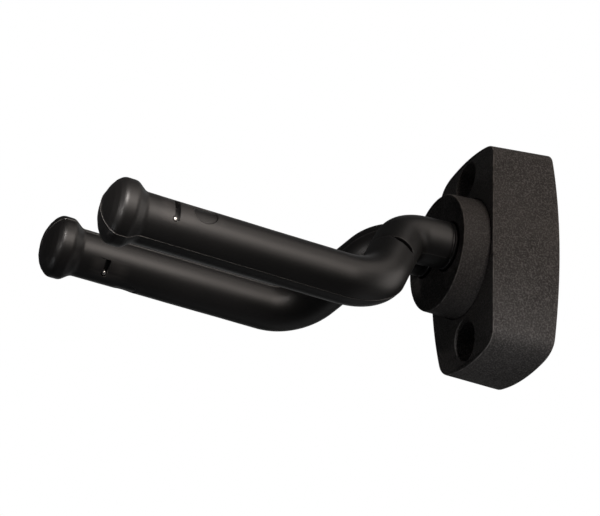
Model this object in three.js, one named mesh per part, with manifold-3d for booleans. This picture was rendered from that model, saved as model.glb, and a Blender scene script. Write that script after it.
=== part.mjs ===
// Wall guitar hanger: a moulded wall plate, and a padded two-arm yoke that turns on it.
// Millimetres. +Z is up, the wall is the plane Y = 0 and the hanger stands out towards -Y.
// The origin is where the swivel axis meets the wall. The yoke is stored rolled to one side.
import * as THREE from 'three';
import { mergeVertices } from 'three/addons/utils/BufferGeometryUtils.js';
import Module from 'manifold-3d';

// ---- wall plate ----
const PLATE_DEPTH = 22.0;         // wall to the top of the crowned front
const PLATE_BACK_HALF_W = 23.6;
const PLATE_BACK_HALF_H = 37.0;
const PLATE_FRONT_HALF_W = 21.0;
const PLATE_FRONT_HALF_H = 36.3;
const SIDE_BULGE = 0.0037;        // parabola x = half_w - SIDE_BULGE z^2
const END_BULGE = 0.0075;         // parabola z = half_h - END_BULGE x^2
const CORNER_SIDE_Z = 28.6;       // where a side curve runs into its corner
const CORNER_END_X = 10.6;        // where an end curve runs into its corner
const FRONT_CROWN = 0.00178;      // front falls back by FRONT_CROWN z^2
const PLATE_WALL = 3.0;
const POCKET_DEPTH = 16.5;
const RIB_T = 2.2;
const SIDE_RIB_X = 11.4;         // upright ribs beside the middle one
const SCREW_Z = 28.2;             // wall-screw holes, above and below the axis
const SCREW_HEAD_R = 6.23;
const SCREW_HOLE_R = 3.1;
const SCREW_FLOOR_Y = -8.0;       // seat of the screw head
const SCREW_BOSS_R = 9.2;
const HUB_R = 14.4;
const NUT_RECESS_R = 11.0;
const NUT_RECESS_Y = -14.0;
const TURRET_SEAT_Y = -20.3;      // floor of the round recess that the turret turns in
const TURRET_SEAT_R = 19.75;

// ---- turret cover ----
const TURRET_FRONT_Y = -30.9;
const TURRET_FRONT_R = 18.95;
const TURRET_BASE_R = 19.4;
const TURRET_BASE_Y = -20.6;
const TURRET_WALL = 2.4;
const TURRET_FACE_T = 3.2;
const STUB_HOLE_R = 8.15;
const COVER_SCREW_Z = 12.6;

// ---- pivot ----
const STUD_R = 4.0;
const BUSH_BORE_R = 4.06;
const BUSH_R = 6.0;
const BUSH_SEAT_R = 6.3;
const DISC_R = 15.6;
const DISC_FRONT_Y = -27.4;
const DISC_BACK_Y = -23.4;

// ---- yoke ----
const ROLL = 0.241;               // stored roll of the yoke about the swivel axis
const ARM_X = 32.0;               // half the spacing of the arms
const STUB_X = 7.75;              // half the spacing of the two stubs
const STUB_Z = 0.8;
const BEND1_Y = -46.6;
const BEND2_Y = -63.7;
const BEND1_R = 11.0;
const BEND2_R = 17.0;
const TIP_Y = -144.35;            // front rim of the end stop
const TIP_Z = -17.1;
const ARM_RISE = 0.069;           // upward tilt of the arms towards their ends
const ROD_R = 4.0;
const BORE_R = 4.35;
const SLEEVE_R = 7.55;
const STOP_R = 9.83;
const STOP_BAND = 3.7;
const STOP_CONE = 2.5;
const STOP_DOME = 4.6;
const SEAM_PAST_BEND = 10.3;      // where the stub sleeve meets the arm sleeve, along the diagonal
const SEAM_GAP = 0.45;
const SLEEVE_SIDES = 24;
const BORE_SIDES = 12;

const wasm = await Module();
wasm.setup();

function signedVolume(pos, idx) {
  let v = 0;
  for (let i = 0; i < idx.length; i += 3) {
    const [a, b, c] = [idx[i] * 3, idx[i + 1] * 3, idx[i + 2] * 3];
    v += pos[a] * (pos[b + 1] * pos[c + 2] - pos[b + 2] * pos[c + 1])
       - pos[a + 1] * (pos[b] * pos[c + 2] - pos[b + 2] * pos[c])
       + pos[a + 2] * (pos[b] * pos[c + 1] - pos[b + 1] * pos[c]);
  }
  return v / 6;
}

// closed three.js geometry -> solid
function solid(geometry) {
  let g = geometry.clone();
  g.deleteAttribute('normal');
  g.deleteAttribute('uv');
  g = mergeVertices(g, 1e-4);
  const pos = Float32Array.from(g.attributes.position.array);
  const src = g.index.array;
  const tri = [];
  for (let i = 0; i < src.length; i += 3) {
    if (src[i] !== src[i + 1] && src[i + 1] !== src[i + 2] && src[i] !== src[i + 2]) tri.push(src[i], src[i + 1], src[i + 2]);
  }
  if (signedVolume(pos, tri) < 0) for (let i = 0; i < tri.length; i += 3) [tri[i + 1], tri[i + 2]] = [tri[i + 2], tri[i + 1]];
  const s = new wasm.Manifold(new wasm.Mesh({ numProp: 3, vertProperties: pos, triVerts: Uint32Array.from(tri) }));
  return s;
}

// solid -> three.js geometry
function geometryOf(s) {
  const m = s.getMesh();
  const g = new THREE.BufferGeometry();
  g.setAttribute('position', new THREE.BufferAttribute(Float32Array.from(m.vertProperties), 3));
  g.setIndex(Array.from(m.triVerts));
  g.computeVertexNormals();
  return g;
}

// solid of revolution about the swivel axis (Y); profile is [radius, y] pairs
function turned(profile, sides, x = 0, z = 0) {
  const g = new THREE.LatheGeometry(profile.map(([r, y]) => new THREE.Vector2(r, y)), sides);
  g.translate(x, 0, z);
  return solid(g);
}
const rod = (r, y0, y1, sides, x = 0, z = 0) => turned([[0, y0], [r, y0], [r, y1], [0, y1]], sides, x, z);
const ring = (r0, r1, y0, y1, sides, x = 0, z = 0) => turned([[r0, y0], [r1, y0], [r1, y1], [r0, y1], [r0, y0]], sides, x, z);
function block(x0, x1, y0, y1, z0, z1) {
  const g = new THREE.BoxGeometry(x1 - x0, y1 - y0, z1 - z0);
  g.translate((x0 + x1) / 2, (y0 + y1) / 2, (z0 + z1) / 2);
  return solid(g);
}

// ---- wall plate ----
// barrel outline: bulged sides, slightly bulged ends, rounded corners
function barrel(halfW, halfH, inset = 0) {
  const w = halfW - inset, h = halfH - inset;
  const zs = CORNER_SIDE_Z - inset * 0.7, xe = CORNER_END_X - inset * 0.7;
  const xs = w - SIDE_BULGE * zs * zs, ze = h - END_BULGE * xe * xe;
  const sx = -2 * SIDE_BULGE * zs, sz = -2 * END_BULGE * xe;   // slopes dx/dz and dz/dx
  // meeting point of the two tangents at a corner
  const zc = (ze + sz * (xs - sx * zs - xe)) / (1 - sz * sx);
  const xc = xs + sx * (zc - zs);
  const s = new THREE.Shape();
  s.moveTo(xs, -zs);
  s.quadraticCurveTo(w + SIDE_BULGE * zs * zs, 0, xs, zs);
  s.quadraticCurveTo(xc, zc, xe, ze);
  s.quadraticCurveTo(0, h + END_BULGE * xe * xe, -xe, ze);
  s.quadraticCurveTo(-xc, zc, -xs, zs);
  s.quadraticCurveTo(-w - SIDE_BULGE * zs * zs, 0, -xs, -zs);
  s.quadraticCurveTo(-xc, -zc, -xe, -ze);
  s.quadraticCurveTo(0, -h - END_BULGE * xe * xe, xe, -ze);
  s.quadraticCurveTo(xc, -zc, xs, -zs);
  return s;
}
// the outline pushed out from the wall, drawn in by the mould's draft on the way
function drafted(shape, y0, y1, segments) {
  const g = new THREE.ExtrudeGeometry(shape, { depth: y0 - y1, bevelEnabled: false, curveSegments: segments, steps: 1 });
  g.rotateX(Math.PI / 2);
  g.translate(0, y0, 0);
  const p = g.attributes.position;
  for (let i = 0; i < p.count; i++) {
    const f = -p.getY(i) / PLATE_DEPTH;
    p.setX(i, p.getX(i) * (1 - f * (1 - PLATE_FRONT_HALF_W / PLATE_BACK_HALF_W)));
    p.setZ(i, p.getZ(i) * (1 - f * (1 - PLATE_FRONT_HALF_H / PLATE_BACK_HALF_H)));
  }
  return solid(g);
}
function crownedSlab() {
  const s = new THREE.Shape();
  s.moveTo(-45, 5);
  const n = 14;
  for (let i = 0; i <= n; i++) {
    const z = -45 + 90 * i / n;
    s.lineTo(z, -PLATE_DEPTH + FRONT_CROWN * z * z);
  }
  s.lineTo(45, 5);
  const g = new THREE.ExtrudeGeometry(s, { depth: 60, bevelEnabled: false, steps: 1 });
  const p = g.attributes.position;
  for (let i = 0; i < p.count; i++) p.setXYZ(i, p.getZ(i) - 30, p.getY(i), p.getX(i));
  return solid(g);
}
function wallPlate() {
  let pockets = drafted(barrel(PLATE_BACK_HALF_W, PLATE_BACK_HALF_H, PLATE_WALL), 1, -POCKET_DEPTH, 7);
  pockets = pockets.subtract(rod(HUB_R, 2, -25, 40));
  for (const s of [1, -1]) {
    pockets = pockets.subtract(rod(SCREW_BOSS_R, 2, -25, 32, 0, s * SCREW_Z));
    pockets = pockets.subtract(block(-30, 30, -25, 2, s * 15.2 - RIB_T / 2, s * 15.2 + RIB_T / 2));
    pockets = pockets.subtract(block(-30, 30, -25, 2, s * SCREW_Z - RIB_T / 2, s * SCREW_Z + RIB_T / 2));
  }
  for (const x of [-SIDE_RIB_X, 0, SIDE_RIB_X]) pockets = pockets.subtract(block(x - RIB_T / 2, x + RIB_T / 2, -25, 2, -45, 45));
  pockets = pockets.subtract(block(-30, 30, -25, 2, -RIB_T / 2, RIB_T / 2));
  let plate = drafted(barrel(PLATE_BACK_HALF_W, PLATE_BACK_HALF_H), 0, -PLATE_DEPTH - 1, 9).intersect(crownedSlab());
  plate = plate.subtract(pockets);
  plate = plate.subtract(rod(TURRET_SEAT_R, TURRET_SEAT_Y, -30, 48));
  plate = plate.subtract(rod(BUSH_SEAT_R, 5, -30, 28));
  plate = plate.subtract(rod(NUT_RECESS_R, 5, NUT_RECESS_Y, 32));
  for (const s of [1, -1]) {
    plate = plate.subtract(rod(SCREW_HEAD_R, SCREW_FLOOR_Y, -30, 32, 0, s * SCREW_Z));
    plate = plate.subtract(rod(SCREW_HOLE_R, 5, -30, 24, 0, s * SCREW_Z));
  }
  return geometryOf(plate);
}

// ---- pivot pieces ----
function pivotBush() {
  return geometryOf(turned([[BUSH_BORE_R, -13.6], [BUSH_R, -13.6], [BUSH_R, -20.5], [10, -20.5], [10, -22.0], [BUSH_BORE_R, -22.0], [BUSH_BORE_R, -13.6]], 40));
}
function pivotStud() {
  return geometryOf(turned([[0, DISC_BACK_Y + 0.2], [STUD_R, DISC_BACK_Y + 0.2], [STUD_R, -1.9], [STUD_R - 0.7, -1.2], [0, -1.2]], 40));
}
function hexNut() {
  const s = new THREE.Shape();
  const r = 13 / Math.sqrt(3);
  for (let i = 0; i < 6; i++) s[i ? 'lineTo' : 'moveTo'](r * Math.cos(i * Math.PI / 3), r * Math.sin(i * Math.PI / 3));
  const g = new THREE.ExtrudeGeometry(s, { depth: 7.8, bevelEnabled: false, steps: 1 });
  g.rotateX(Math.PI / 2);
  g.translate(0, -2.4, 0);
  let nut = solid(g).intersect(turned([[0, -10.2], [6.6, -10.2], [7.6, -9.5], [7.6, -4.6], [6.2, -3.9], [5.9, -2.4], [0, -2.4]], 24));
  nut = nut.subtract(rod(STUD_R + 0.3, 5, -20, 24));
  return geometryOf(nut.subtract(rod(5.3, 0, -4.9, 24)));
}
// split spring washer: a ring cut through at one place
function springWasher() {
  const cut = block(4, 9, -14, -9, -0.7, 0.7);
  return geometryOf(ring(STUD_R + 0.3, 6.8, -12.2, -10.4, 28).subtract(cut));
}
function yokeDisc() {
  let d = turned([[0, DISC_FRONT_Y], [DISC_R - 0.4, DISC_FRONT_Y], [DISC_R, DISC_FRONT_Y + 0.4], [DISC_R, DISC_BACK_Y - 0.4], [DISC_R - 0.4, DISC_BACK_Y], [0, DISC_BACK_Y]], 48);
  for (const s of [1, -1]) d = d.subtract(rod(1.8, -20, -30, 12, 0, s * COVER_SCREW_Z));
  return geometryOf(d);
}
// pan-head screw that holds the cover to the disc, driven from behind
function coverScrew(z) {
  const g = turned([[0, -30.0], [0.9, -30.0], [1.45, -29.3], [1.45, DISC_BACK_Y + 0.2], [2.6, DISC_BACK_Y + 0.2], [2.6, -22.1], [2.1, -21.6], [0, -21.6]], 12, 0, z);
  return geometryOf(g.subtract(block(-1.7, 1.7, -22.3, -21, z - 0.3, z + 0.3)).subtract(block(-0.3, 0.3, -22.3, -21, z - 1.7, z + 1.7)));
}
function turretCover() {
  const inner = TURRET_FRONT_Y + TURRET_FACE_T;
  let c = turned([[0, TURRET_FRONT_Y], [TURRET_FRONT_R - 0.7, TURRET_FRONT_Y], [TURRET_FRONT_R - 0.2, TURRET_FRONT_Y + 0.2], [TURRET_FRONT_R, TURRET_FRONT_Y + 0.7], [TURRET_BASE_R, TURRET_BASE_Y],
    [TURRET_BASE_R - TURRET_WALL, TURRET_BASE_Y], [TURRET_FRONT_R - TURRET_WALL, inner], [0, inner]], 48);
  for (const s of [1, -1]) {
    c = c.subtract(rod(STUB_HOLE_R, -25, -35, 32, s * STUB_X, STUB_Z));
    c = c.subtract(rod(1.8, -25, -30.2, 12, 0, s * COVER_SCREW_Z));
  }
  return geometryOf(c);
}

// ---- arms ----
// a path given by its own stations, so bends get close sections and straights get none
class StationPath extends THREE.Curve {
  constructor(points, tangents) { super(); this.points = points; this.tangents = tangents; }
  at(list, u) {
    const n = list.length - 1, x = Math.min(Math.max(u, 0), 1) * n;
    const i = Math.min(Math.floor(x), n - 1);
    return list[i].clone().lerp(list[i + 1], x - i);
  }
  getPoint(t, target = new THREE.Vector3()) { return target.copy(this.at(this.points, t)); }
  getPointAt(u, target = new THREE.Vector3()) { return this.getPoint(u, target); }
  getTangent(t, target = new THREE.Vector3()) { return target.copy(this.at(this.tangents, t)).normalize(); }
  getTangentAt(u, target = new THREE.Vector3()) { return this.getTangent(u, target); }
}
// centreline of one arm: stub, bend, diagonal, bend, arm; side is +1 or -1
function armStations(side) {
  const z2 = TIP_Z - (BEND2_Y - TIP_Y) * Math.tan(ARM_RISE);
  const corners = [[STUB_X, DISC_FRONT_Y - 0.3, STUB_Z], [STUB_X, BEND1_Y, STUB_Z], [ARM_X, BEND2_Y, z2], [ARM_X, TIP_Y, TIP_Z]]
    .map(([x, y, z]) => new THREE.Vector3(side * x, y, z));
  const out = [{ p: corners[0], t: corners[1].clone().sub(corners[0]).normalize(), tag: 'start' }];
  [[1, BEND1_R, 6], [2, BEND2_R, 7]].forEach(([k, r, n]) => {
    const a = corners[k].clone().sub(corners[k - 1]).normalize();
    const b = corners[k + 1].clone().sub(corners[k]).normalize();
    const turn = Math.acos(a.dot(b));
    const start = corners[k].clone().addScaledVector(a, -r * Math.tan(turn / 2));
    const inward = b.clone().addScaledVector(a, -a.dot(b)).normalize();
    const centre = start.clone().addScaledVector(inward, r);
    for (let i = 0; i <= n; i++) {
      const f = turn * i / n;
      out.push({
        p: centre.clone().addScaledVector(inward, -r * Math.cos(f)).addScaledVector(a, r * Math.sin(f)),
        t: a.clone().multiplyScalar(Math.cos(f)).addScaledVector(inward, Math.sin(f)),
        tag: i === n ? 'bend' + k + '_end' : '',
      });
    }
  });
  out.push({ p: corners[3], t: corners[3].clone().sub(corners[2]).normalize(), tag: 'tip' });
  return out;
}
function sweep(stations, r, sides) {
  const shape = new THREE.Shape();
  for (let i = 0; i < sides; i++) {
    const a = (i + 0.5) * 2 * Math.PI / sides;
    shape[i ? 'lineTo' : 'moveTo'](r * Math.cos(a), r * Math.sin(a));
  }
  shape.closePath();
  const path = new StationPath(stations.map((s) => s.p), stations.map((s) => s.t));
  return solid(new THREE.ExtrudeGeometry(shape, { steps: stations.length - 1, extrudePath: path, bevelEnabled: false }));
}
const moved = (s, d) => ({ p: s.p.clone().addScaledVector(s.t, d), t: s.t.clone(), tag: s.tag });
// turned solid about the arm's own line; profile is [radius, distance past the front rim]
function turnedOnArm(profile, sides, tip) {
  const g = new THREE.LatheGeometry(profile.map(([r, a]) => new THREE.Vector2(r, a)), sides);
  g.applyQuaternion(new THREE.Quaternion().setFromUnitVectors(new THREE.Vector3(0, 1, 0), tip.t));
  g.translate(tip.p.x, tip.p.y, tip.p.z);
  return solid(g);
}
function armRod(side) {
  const st = armStations(side);
  st[st.length - 1] = moved(st[st.length - 1], -2.0);
  return geometryOf(sweep(st, ROD_R, BORE_SIDES));
}
function stubSleeve(side) {
  const st = armStations(side);
  const end = st.findIndex((s) => s.tag === 'bend1_end');
  const cover = [...st.slice(0, end + 1), moved(st[end], SEAM_PAST_BEND)];
  const bore = [moved(cover[0], -1), ...cover.slice(1, -1), moved(st[end], SEAM_PAST_BEND + 1)];
  return geometryOf(sweep(cover, SLEEVE_R, SLEEVE_SIDES).subtract(sweep(bore, BORE_R, BORE_SIDES)));
}
// slot in the sleeve near its end stop, and the hole of the retaining pin at the slot's lower end;
// angles are measured about the arm from +X towards +Z
const SLOTS = {
  '1': { from: 1, to: 62, back: 15.8, width: 1.7, pin: 6, pinShift: 0.3 },
  '-1': { from: -54, to: -9, back: 15.8, width: 1.7, pin: -48, pinShift: 0 },
};
function armFrame(side) {
  const tip = armStations(side).at(-1);
  const out = new THREE.Vector3(1, 0, 0);
  const up = new THREE.Vector3().crossVectors(tip.t, out).normalize();
  return { tip, out, up };
}
function onArm(side, back, degrees, radius) {
  const { tip, out, up } = armFrame(side);
  const a = degrees * Math.PI / 180;
  return tip.p.clone().addScaledVector(tip.t, -back)
    .addScaledVector(out, radius * Math.cos(a)).addScaledVector(up, radius * Math.sin(a));
}
function slotCutter(side) {
  const { tip, out, up } = armFrame(side);
  const s = SLOTS[side];
  const shape = new THREE.Shape();
  const n = 8, at = (r, i) => { const a = (s.from + (s.to - s.from) * i / n) * Math.PI / 180; return [r * Math.cos(a), r * Math.sin(a)]; };
  shape.moveTo(...at(5.5, 0));
  for (let i = 1; i <= n; i++) shape.lineTo(...at(5.5, i));
  for (let i = n; i >= 0; i--) shape.lineTo(...at(9, i));
  shape.closePath();
  const g = new THREE.ExtrudeGeometry(shape, { depth: s.width, bevelEnabled: false, steps: 1 });
  const m = new THREE.Matrix4().makeBasis(out, up, new THREE.Vector3().crossVectors(out, up));
  g.translate(0, 0, -s.width / 2);
  g.applyMatrix4(m);
  const c = tip.p.clone().addScaledVector(tip.t, -s.back);
  g.translate(c.x, c.y, c.z);
  return solid(g);
}
function pinSolid(side, r, r0, r1, dome) {
  const s = SLOTS[side];
  const base = onArm(side, s.back - s.pinShift, s.pin, 0);
  const dir = onArm(side, s.back - s.pinShift, s.pin, 1).sub(base).normalize();
  const profile = dome ? [[0, r0], [r, r0], [r, r1 - 0.55 * r], [0.75 * r, r1 - 0.2 * r], [0, r1]] : [[0, r0], [r, r0], [r, r1], [0, r1]];
  const g = new THREE.LatheGeometry(profile.map(([a, b]) => new THREE.Vector2(a, b)), 12);
  g.applyQuaternion(new THREE.Quaternion().setFromUnitVectors(new THREE.Vector3(0, 1, 0), dir));
  g.translate(base.x, base.y, base.z);
  return solid(g);
}
function armSleeve(side) {
  const st = armStations(side);
  const start = st.findIndex((s) => s.tag === 'bend1_end');
  const tip = st[st.length - 1];
  const cover = [moved(st[start], SEAM_PAST_BEND + SEAM_GAP), ...st.slice(start + 1, -1), moved(tip, -1.5)];
  const bore = [moved(st[start], SEAM_PAST_BEND - 1), ...st.slice(start + 1, -1), moved(tip, -1.7)];
  let s = sweep(cover, SLEEVE_R, SLEEVE_SIDES);
  s = s.add(turnedOnArm([[0, -STOP_BAND - STOP_CONE - 0.7], [SLEEVE_R - 0.62, -STOP_BAND - STOP_CONE - 0.7], [STOP_R - 0.35, -STOP_BAND - 0.15], [STOP_R, -STOP_BAND + 0.35], [STOP_R, -0.5],
    [STOP_R - 0.3, 0.4], [STOP_R - 1.2, 1.45], [STOP_R - 3.0, 2.75], [STOP_R - 5.4, 3.85], [STOP_R - 7.8, 4.4], [0, STOP_DOME]], 32, tip));
  s = s.subtract(sweep(bore, BORE_R, BORE_SIDES));
  s = s.subtract(slotCutter(side));
  s = s.subtract(pinSolid(side, 1.05, 3.0, 9.5, false));
  return geometryOf(s);
}
const sleevePin = (side) => geometryOf(pinSolid(side, 0.72, ROD_R + 0.35, 7.2, true));

// ---- assembly ----
const material = (color, roughness, metalness) => new THREE.MeshStandardMaterial({ color, roughness, metalness });
const shellPlastic = material(0x3b3a3a, 0.62, 0);
const softBlack = material(0x1f1e1e, 0.5, 0);
const zincSteel = material(0xb4b6b8, 0.4, 0.9);
const rawSteel = material(0x6f7276, 0.5, 0.9);
const acetal = material(0xe6e3da, 0.5, 0);
const nylonBlue = material(0x2b4f8c, 0.5, 0);
const brightSteel = material(0xd8d8d4, 0.2, 1);

const hanger = new THREE.Group();
hanger.name = 'wall_guitar_hanger';
function put(parent, name, geometry, mat) {
  const m = new THREE.Mesh(geometry, mat);
  m.name = name;
  parent.add(m);
}
put(hanger, 'wall_plate', wallPlate(), shellPlastic);
put(hanger, 'pivot_bush', pivotBush(), acetal);

const yoke = new THREE.Group();
yoke.rotation.y = ROLL;
hanger.add(yoke);
put(yoke, 'turret_cover', turretCover(), shellPlastic);
put(yoke, 'yoke_disc', yokeDisc(), rawSteel);
put(yoke, 'pivot_stud', pivotStud(), zincSteel);
put(yoke, 'thrust_washer', geometryOf(ring(STUD_R + 0.3, 9.8, -23.2, -22.2, 28)), acetal);
put(yoke, 'plain_washer', geometryOf(ring(STUD_R + 0.3, 8.4, -13.4, -12.4, 28)), zincSteel);
put(yoke, 'spring_washer', springWasher(), zincSteel);
put(yoke, 'lock_nut', hexNut(), zincSteel);
put(yoke, 'lock_nut_insert', geometryOf(ring(STUD_R + 0.25, 5.0, -4.65, -2.6, 24)), nylonBlue);
put(yoke, 'cover_screw_upper', coverScrew(COVER_SCREW_Z), zincSteel);
put(yoke, 'cover_screw_lower', coverScrew(-COVER_SCREW_Z), zincSteel);
for (const [name, side] of [['right', 1], ['left', -1]]) {
  put(yoke, name + '_arm_rod', armRod(side), rawSteel);
  put(yoke, name + '_stub_sleeve', stubSleeve(side), softBlack);
  put(yoke, name + '_arm_sleeve', armSleeve(side), softBlack);
  put(yoke, name + '_sleeve_pin', sleevePin(side), brightSteel);
}

export default hanger;
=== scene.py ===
import math

import bpy
from mathutils import Matrix, Vector


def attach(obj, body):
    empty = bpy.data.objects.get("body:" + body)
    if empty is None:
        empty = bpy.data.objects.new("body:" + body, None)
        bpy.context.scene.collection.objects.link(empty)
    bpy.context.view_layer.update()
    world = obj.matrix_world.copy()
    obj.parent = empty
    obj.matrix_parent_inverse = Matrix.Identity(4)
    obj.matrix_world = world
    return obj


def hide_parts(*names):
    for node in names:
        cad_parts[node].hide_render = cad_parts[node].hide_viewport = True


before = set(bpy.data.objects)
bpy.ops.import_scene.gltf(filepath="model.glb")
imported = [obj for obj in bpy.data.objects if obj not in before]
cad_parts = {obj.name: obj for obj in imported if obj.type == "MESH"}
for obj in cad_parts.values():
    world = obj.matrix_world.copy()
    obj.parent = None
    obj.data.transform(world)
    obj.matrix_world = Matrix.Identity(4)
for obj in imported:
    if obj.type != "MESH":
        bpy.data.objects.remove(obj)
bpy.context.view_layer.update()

MM = 0.001
ROLL = 0.241
TAU = 2 * math.pi

# ------------------------------------------------------------------ camera
cam_data = bpy.data.cameras.new("view_camera")
cam_data.lens = 117.74
cam_data.sensor_width = 36.0
cam_data.clip_start = 0.01
cam_data.clip_end = 20
cam = bpy.data.objects.new("view_camera", cam_data)
bpy.context.scene.collection.objects.link(cam)
_r = Vector((0.39835659, 0.91619922, 0.0434858)).normalized()
_f = Vector((-0.83664504, 0.34351734, 0.4266391)).normalized()
_u = _r.cross(_f).normalized()
_c = Vector((0.499314, -0.282139, -0.267036))
cam.matrix_world = Matrix(((_r.x, _u.x, -_f.x, _c.x), (_r.y, _u.y, -_f.y, _c.y), (_r.z, _u.z, -_f.z, _c.z), (0, 0, 0, 1)))
bpy.context.scene.camera = cam

# ------------------------------------------------------------------ mesh helpers (millimetres)
class Shape:
    """Vertices and faces in millimetres, in the row frame or in the level yoke frame."""

    def __init__(self, verts=(), faces=()):
        self.v = [Vector(p) for p in verts]
        self.f = [tuple(f) for f in faces]

    def add(self, other):
        n = len(self.v)
        self.v += other.v
        self.f += [tuple(i + n for i in f) for f in other.f]
        return self

    def moved(self, m):
        return Shape([m @ p for p in self.v], self.f)


def mesh_of(shape, name, scale=1.0):
    me = bpy.data.meshes.new(name)
    me.from_pydata([tuple(p * scale) for p in shape.v], [], shape.f)
    me.update()
    return me


def temp(shape, name="temp"):
    """A working object in millimetres, with outward faces."""
    import bmesh

    me = mesh_of(shape, name)
    bm = bmesh.new()
    bm.from_mesh(me)
    bmesh.ops.remove_doubles(bm, verts=bm.verts, dist=1e-5)
    bmesh.ops.recalc_face_normals(bm, faces=bm.faces)
    if bm.calc_volume(signed=True) < 0:
        bmesh.ops.reverse_faces(bm, faces=bm.faces)
    bm.to_mesh(me)
    bm.free()
    o = bpy.data.objects.new(name, me)
    bpy.context.scene.collection.objects.link(o)
    return o


def boolean(o, cutter, operation="DIFFERENCE"):
    m = o.modifiers.new("b", "BOOLEAN")
    m.operation = operation
    m.solver = "EXACT"
    m.object = cutter
    bpy.context.view_layer.update()
    dg = bpy.context.evaluated_depsgraph_get()
    me = bpy.data.meshes.new_from_object(o.evaluated_get(dg))
    o.modifiers.clear()
    old = o.data
    o.data = me
    bpy.data.meshes.remove(old)
    cm = cutter.data
    bpy.data.objects.remove(cutter)
    bpy.data.meshes.remove(cm)
    return o


def finish_piece(o, name, body, mat, stands_for=(), yoke=False, sharp=38.0):
    """Scales a working object to metres, shades it, and gives it its body, finish and CAD nodes."""
    import bmesh

    me = o.data
    bm = bmesh.new()
    bm.from_mesh(me)
    bmesh.ops.remove_doubles(bm, verts=bm.verts, dist=2e-4)
    bmesh.ops.dissolve_degenerate(bm, edges=bm.edges, dist=1e-4)
    loose = [v for v in bm.verts if not v.link_faces]
    if loose:
        bmesh.ops.delete(bm, geom=loose, context="VERTS")
    bmesh.ops.triangulate(bm, faces=[f for f in bm.faces if len(f.verts) > 4])
    lim = math.radians(sharp)
    for e in bm.edges:
        e.smooth = not (len(e.link_faces) == 2 and e.calc_face_angle(0) > lim)
    for f in bm.faces:
        f.smooth = True
    bm.to_mesh(me)
    bm.free()
    m = Matrix.Scale(MM, 4)
    if yoke:
        m = Matrix.Rotation(ROLL, 4, "Y") @ m
    me.transform(m)
    me.materials.clear()
    me.materials.append(mat)
    me.update()
    me.name = name
    o.name = name
    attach(o, body)
    if stands_for:
        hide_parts(*stands_for)
    return o


def near_line(o, name, chains, reach):
    """Stores on each vertex how close it is to the given lines (1 on a line, 0 at reach or further)."""
    from mathutils.kdtree import KDTree

    pts = []
    for chain in chains:
        for a, b in zip(chain, chain[1:]):
            k = max(1, int((b - a).length / 0.25))
            pts += [a.lerp(b, i / k) for i in range(k)]
        pts.append(chain[-1])
    kd = KDTree(len(pts))
    for i, q in enumerate(pts):
        kd.insert(q, i)
    kd.balance()
    at = o.data.attributes.get(name) or o.data.attributes.new(name, "FLOAT", "POINT")
    for v in o.data.vertices:
        at.data[v.index].value = max(at.data[v.index].value, 1.0 - kd.find(v.co)[2] / reach, 0.0)


def fillet(points, closed=False, seg=5):
    """Rounds a 2D polyline: points are (x, y) or (x, y, radius)."""
    out, n = [], len(points)
    for i, p in enumerate(points):
        r = p[2] if len(p) > 2 else 0
        if r == 0 or (not closed and i in (0, n - 1)):
            out.append((p[0], p[1]))
            continue
        a, b, c = Vector(points[i - 1][:2]), Vector(p[:2]), Vector(points[(i + 1) % n][:2])
        u, w = (a - b), (c - b)
        la, lc = u.length, w.length
        u.normalize()
        w.normalize()
        ang = u.angle(w)
        d = min(r / math.tan(ang / 2), la * 0.49, lc * 0.49)
        rr = d * math.tan(ang / 2)
        ctr = b + (u + w).normalized() * (rr / math.sin(ang / 2))
        s, e = b + u * d - ctr, b + w * d - ctr
        tot = s.angle(e)
        sign = 1 if s.x * e.y - s.y * e.x > 0 else -1
        for k in range(seg + 1):
            t = sign * tot * k / seg
            out.append((ctr.x + s.x * math.cos(t) - s.y * math.sin(t), ctr.y + s.x * math.sin(t) + s.y * math.cos(t)))
    return out


def turned(profile, n=96, x=0.0, z=0.0, closed=False):
    """Solid of revolution about the Y direction through (x, z); profile is (radius, y)."""
    s = Shape()
    rings = []
    for r, y in profile:
        if r < 1e-6:
            s.v.append(Vector((x, y, z)))
            rings.append([len(s.v) - 1])
        else:
            rings.append(list(range(len(s.v), len(s.v) + n)))
            s.v += [Vector((x + r * math.cos(TAU * k / n), y, z + r * math.sin(TAU * k / n))) for k in range(n)]
    pairs = list(zip(rings, rings[1:] + rings[:1])) if closed else list(zip(rings, rings[1:]))
    for a, b in pairs:
        for k in range(n):
            j = (k + 1) % n
            if len(a) == 1 and len(b) == 1:
                continue
            if len(a) == 1:
                s.f.append((a[0], b[j], b[k]))
            elif len(b) == 1:
                s.f.append((a[k], a[j], b[0]))
            else:
                s.f.append((a[k], a[j], b[j], b[k]))
    return s


def prism(loop, y0, y1, warp=None):
    """The closed 2D loop of (x, z) points, drawn out from y0 to y1."""
    n = len(loop)
    s = Shape([(x, y0, z) for x, z in loop] + [(x, y1, z) for x, z in loop])
    if warp:
        s.v = [warp(p) for p in s.v]
    s.f = [tuple(range(n)), tuple(range(2 * n - 1, n - 1, -1))]
    s.f += [(k, (k + 1) % n, n + (k + 1) % n, n + k) for k in range(n)]
    return s


def block(x0, x1, y0, y1, z0, z1):
    v = [(x, y, z) for x in (x0, x1) for y in (y0, y1) for z in (z0, z1)]
    f = [(0, 1, 3, 2), (4, 6, 7, 5), (0, 4, 5, 1), (2, 3, 7, 6), (0, 2, 6, 4), (1, 5, 7, 3)]
    return Shape(v, f)


# ------------------------------------------------------------------ materials
def new_mat(name):
    m = bpy.data.materials.new(name)
    m.use_nodes = True
    nt = m.node_tree
    return m, nt, nt.nodes["Principled BSDF"]


def node(nt, kind, **kw):
    n = nt.nodes.new(kind)
    for k, v in kw.items():
        if k in n.inputs:
            n.inputs[k].default_value = v
        else:
            setattr(n, k, v)
    return n


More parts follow.
